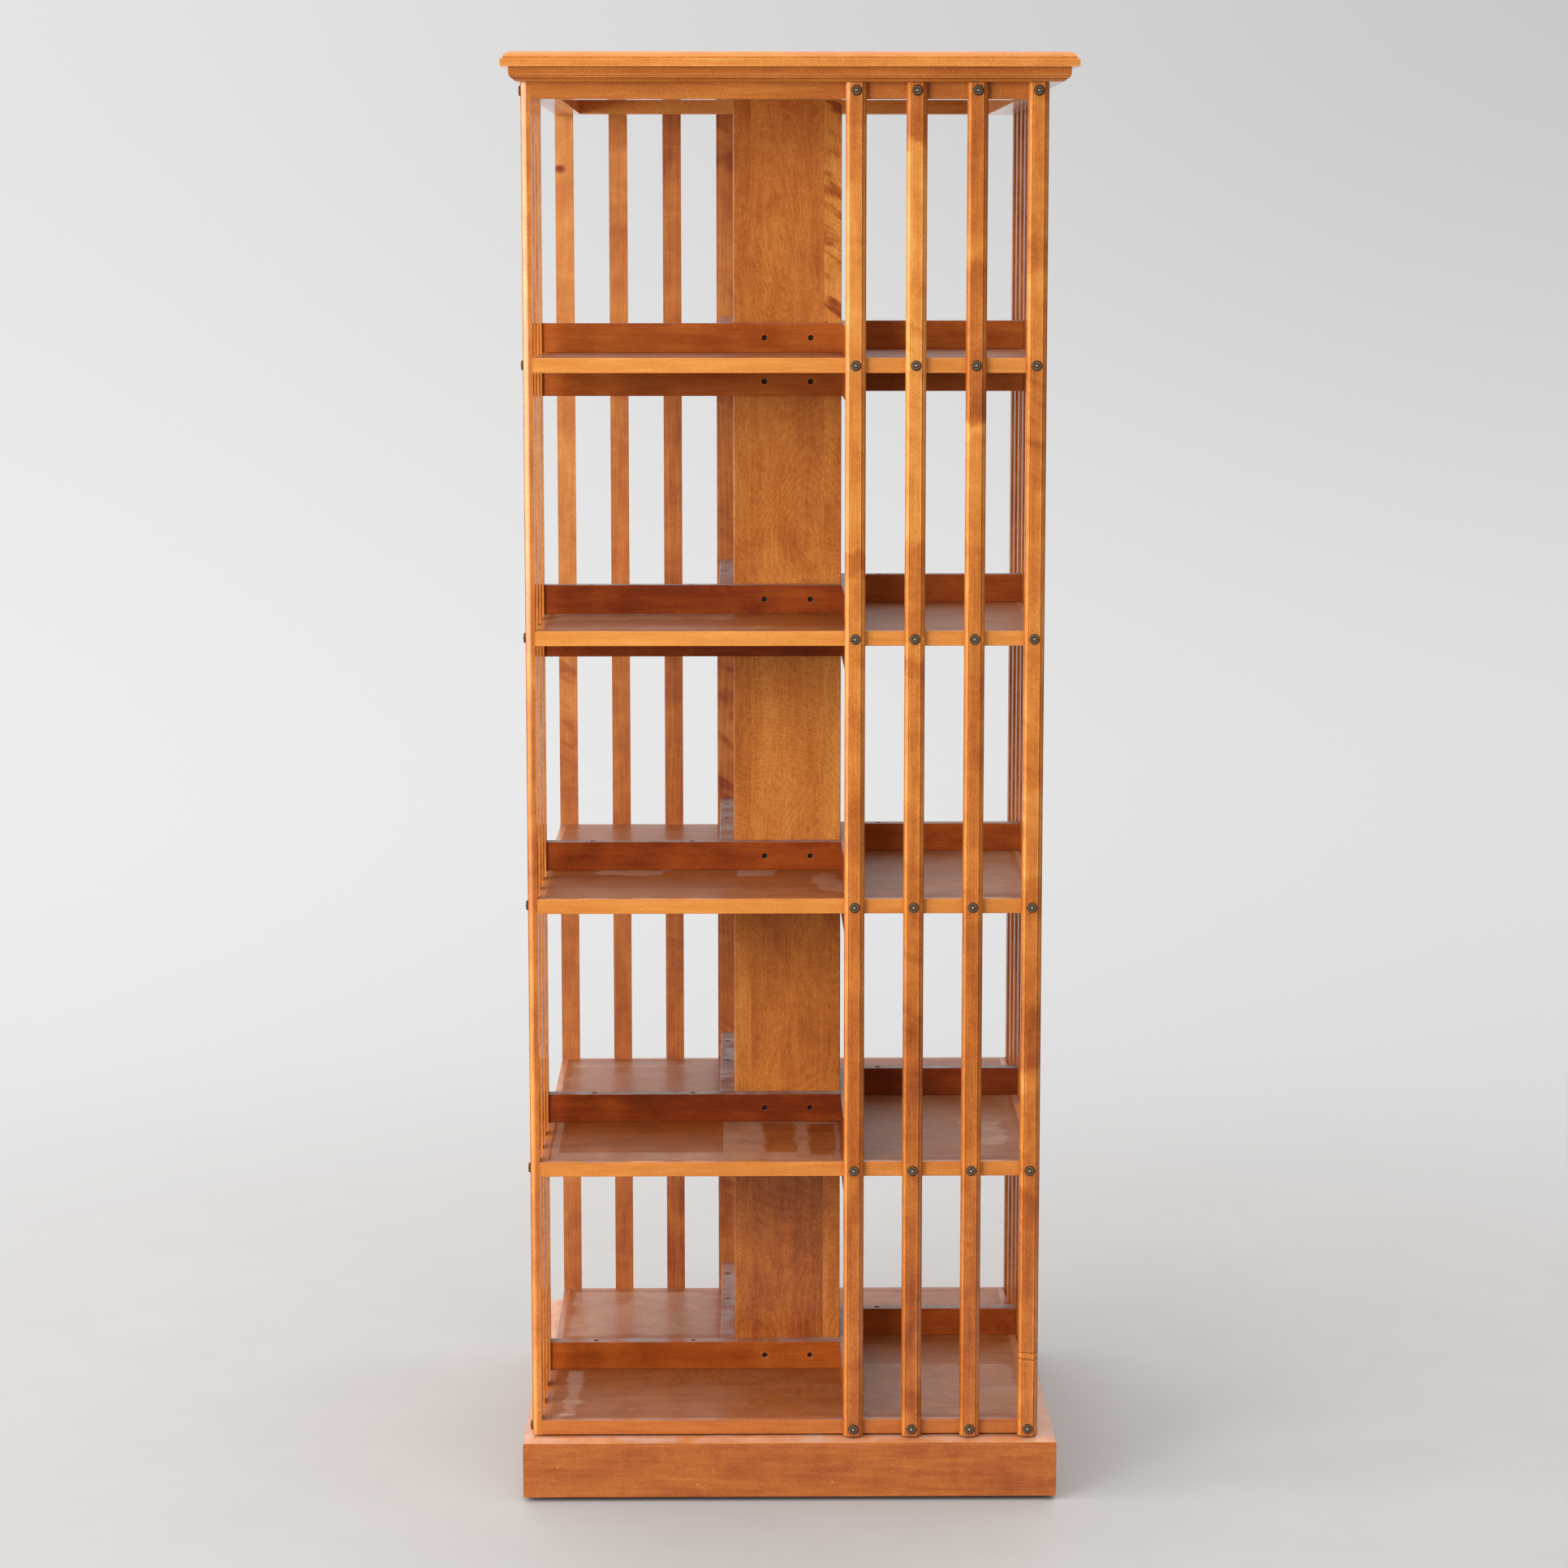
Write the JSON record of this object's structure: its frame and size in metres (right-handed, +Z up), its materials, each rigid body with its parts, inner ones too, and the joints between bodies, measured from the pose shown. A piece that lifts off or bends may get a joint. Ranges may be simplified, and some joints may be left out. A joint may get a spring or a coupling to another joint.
{
  "type": "revolving bookcase",
  "caption": "Tall revolving bookcase: square shelves with slatted sides and book rails round a hollow column, turning on a ball-bearing turntable sunk into a low plinth.",
  "frame": {"origin": "on the floor, under the centre of the plinth", "axes": "+Z up along the turning axis, front of the case faces -Y, +X to the right seen from the front"},
  "size_m": [0.622, 0.622, 1.6125],
  "materials": {
    "slat_wood": "satin lacquer on honey-stained birch",
    "column_wood": "satin lacquer on honey-stained birch",
    "rail_wood": "satin lacquer, darker red-brown stain",
    "shelf_veneer": "satin lacquer on stained birch veneer, dusty and rubbed",
    "lipping_wood": "satin lacquer, light honey stain",
    "cornice_wood": "satin lacquer on honey-stained birch",
    "plinth_wood": "satin lacquer on honey-stained birch",
    "plain_wood": "bare birch plywood",
    "antique_brass": "antiqued, dark in the hollows",
    "screw_steel": "browned",
    "bearing_steel": "zinc plated",
    "bearing_cage": "natural nylon",
    "nylon": "matt"
  },
  "bodies": {
    "base": {"plinth_front": "plinth_wood", "plinth_right": "plinth_wood", "plinth_back": "plinth_wood", "plinth_left": "plinth_wood", "plinth_moulding": "plinth_wood", "plinth_panel": "plain_wood", "plinth_corner_blocks": "plain_wood", "plinth_glides": "nylon", "turntable_lower_plate": "bearing_steel", "turntable_lower_screws": "screw_steel"},
    "ball_race": {"turntable_balls": "bearing_steel", "turntable_cage": "bearing_cage"},
    "case": {"bottom_shelf": "shelf_veneer", "bottom_shelf_lipping": "lipping_wood", "bottom_shelf_rails": "rail_wood", "column_back": "column_wood", "column_front": "column_wood", "column_left": "column_wood", "column_right": "column_wood", "cornice": "cornice_wood", "rail_screws_to_column": "screw_steel", "rail_screws_to_shelves": "screw_steel", "rosettes_back": "antique_brass", "rosettes_front": "antique_brass", "rosettes_left": "antique_brass", "rosettes_right": "antique_brass", "shelf_1": "shelf_veneer", "shelf_1_lipping": "lipping_wood", "shelf_1_rails": "rail_wood", "shelf_2": "shelf_veneer", "shelf_2_lipping": "lipping_wood", "shelf_2_rails": "rail_wood", "shelf_3": "shelf_veneer", "shelf_3_lipping": "lipping_wood", "shelf_3_rails": "rail_wood", "shelf_4": "shelf_veneer", "shelf_4_lipping": "lipping_wood", "shelf_4_rails": "rail_wood", "slat_back_1": "slat_wood", "slat_back_2": "slat_wood", "slat_back_3": "slat_wood", "slat_back_4": "slat_wood", "slat_front_1": "slat_wood", "slat_front_2": "slat_wood", "slat_front_3": "slat_wood", "slat_front_4": "slat_wood", "slat_left_1": "slat_wood", "slat_left_2": "slat_wood", "slat_left_3": "slat_wood", "slat_left_4": "slat_wood", "slat_right_1": "slat_wood", "slat_right_2": "slat_wood", "slat_right_3": "slat_wood", "slat_right_4": "slat_wood", "top_board": "cornice_wood", "top_frame": "cornice_wood", "turntable_upper_plate": "bearing_steel", "turntable_upper_screws": "screw_steel"}
  },
  "joints": [
    {"name": "case_turn", "type": "hinge", "parent": "base", "child": "case", "pos_m": [0, 0, 0.072], "axis": [0, 0, 1], "continuous": true},
    {"name": "ball_race_turn", "type": "hinge", "parent": "base", "child": "ball_race", "pos_m": [0, 0, 0.066], "axis": [0, 0, 1], "continuous": true}
  ],
  "couplings": [
    {"joint": "ball_race_turn", "follows": "case_turn", "ratio": 0.5}
  ]
}
